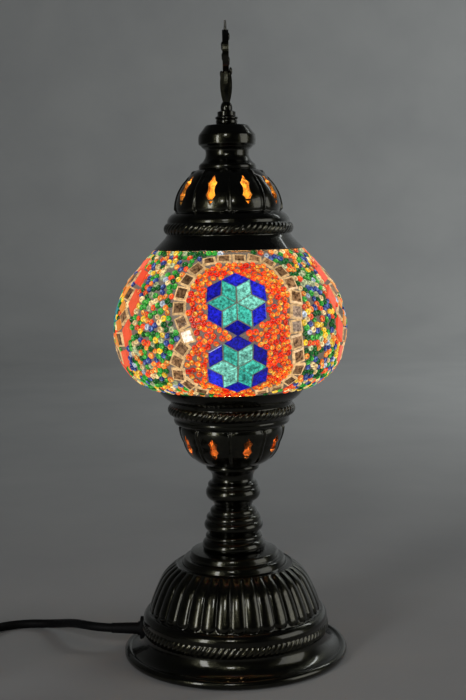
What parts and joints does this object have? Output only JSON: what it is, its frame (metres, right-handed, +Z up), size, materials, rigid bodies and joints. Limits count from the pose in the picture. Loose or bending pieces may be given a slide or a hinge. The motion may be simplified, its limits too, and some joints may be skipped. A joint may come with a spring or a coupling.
{
  "type": "table lamp",
  "caption": "Table lamp with a dark cast base, turned stem, fluted cup, squashed mosaic glass globe, lift-off pierced cap with pointed finial, screw-in bulb and coiled black cord.",
  "frame": {"origin": "centre of the base's underside, on the table", "axes": "+Z up along the stem, -Y to the front of the mosaic, -X to the side where the cord leaves"},
  "size_m": [0.4213, 0.2221, 0.4545],
  "materials": {
    "bronze_casting": "dark antique bronze finish, semi-gloss",
    "fibre_board": "pressed fibre board",
    "felt": "dark felt",
    "steel": "zinc plated",
    "soft_ring": "soft black",
    "clear_glass": "clear",
    "grout": "grey grout",
    "turquoise_glass": "hammered glass",
    "cobalt_glass": "hammered glass",
    "clear_tile": "clear glass with pale edges",
    "red_glass": "opal glass",
    "amber_glass": "hammered glass",
    "teal_glass": "hammered glass",
    "bakelite": "black moulding",
    "porcelain": "white",
    "brass": "nickel or bare brass",
    "filament": "lit filament",
    "cord_black": "black flexible sheath",
    "black_moulding": "fine satin",
    "insulation": "coloured insulation"
  },
  "bodies": {
    "stand": {"base_shell": "bronze_casting", "bottom_cover": "fibre_board", "conductor_live": "insulation", "conductor_neutral": "insulation", "cord_coil": "cord_black", "cord_gland": "cord_black", "cord_lead": "cord_black", "cord_link": "cord_black", "cord_tail": "cord_black", "felt_pad": "felt", "globe_seat_ring": "soft_ring", "lampholder_body": "bakelite", "lampholder_contact": "brass", "lampholder_insert": "porcelain", "lampholder_screws": "steel", "lampholder_skirt": "bakelite", "lampholder_thread": "brass", "lower_cup": "bronze_casting", "plug_body": "black_moulding", "plug_pins": "brass", "stem_foot": "bronze_casting", "stem_lower_knop": "bronze_casting", "stem_upper_knop": "bronze_casting", "switch_base": "black_moulding", "switch_contacts": "brass", "switch_cover": "black_moulding", "switch_screws": "steel", "threaded_tube": "steel", "tube_nut_lower": "steel", "tube_nut_upper": "steel", "tube_washer_lower": "steel", "tube_washer_upper": "steel"},
    "globe": {"glass_globe": "clear_glass", "mosaic_grout": "grout", "rosette_turquoise_tiles": "turquoise_glass", "rosette_cobalt_tiles": "cobalt_glass", "clear_border_tiles": "clear_tile", "clear_star_tiles": "clear_tile", "red_diamond_tiles": "red_glass", "amber_diamond_tiles": "amber_glass", "teal_heart_tiles": "teal_glass"},
    "cap": {"cap_shell": "bronze_casting", "cap_knob": "bronze_casting", "finial_ball": "bronze_casting", "finial_ornament": "bronze_casting", "finial_stud": "steel", "stud_washer": "steel", "stud_nut": "steel", "cap_seat_ring": "soft_ring"},
    "bulb_tip": {"bulb_insulator": "porcelain", "bulb_contact": "brass"},
    "bulb": {"bulb_screw_shell": "brass", "bulb_glass": "clear_glass", "bulb_filament": "filament"},
    "rocker": {"switch_rocker": "black_moulding"}
  },
  "joints": [
    {"name": "globe_lift", "type": "slide", "parent": "stand", "child": "globe", "axis": [0, 0, 1], "range_m": [0, 0.07]},
    {"name": "cap_lift", "type": "slide", "parent": "globe", "child": "cap", "axis": [0, 0, 1], "range_m": [0, 0.06]},
    {"name": "bulb_rise", "type": "slide", "parent": "stand", "child": "bulb_tip", "axis": [0, 0, 1], "range_m": [0, 0.0099]},
    {"name": "bulb_turn", "type": "hinge", "parent": "bulb_tip", "child": "bulb", "pos_m": [0, 0, 0.2], "axis": [0, 0, 1], "range_deg": [0, 1260]},
    {"name": "rocker_tilt", "type": "hinge", "parent": "stand", "child": "rocker", "pos_m": [-0.218, 0.0059, 0.0124], "axis": [0.7771, -0.6293, 0], "range_deg": [-8, 8]}
  ],
  "couplings": [
    {"joint": "bulb_rise", "follows": "bulb_turn", "m_per_rad": 0.00044882}
  ]
}
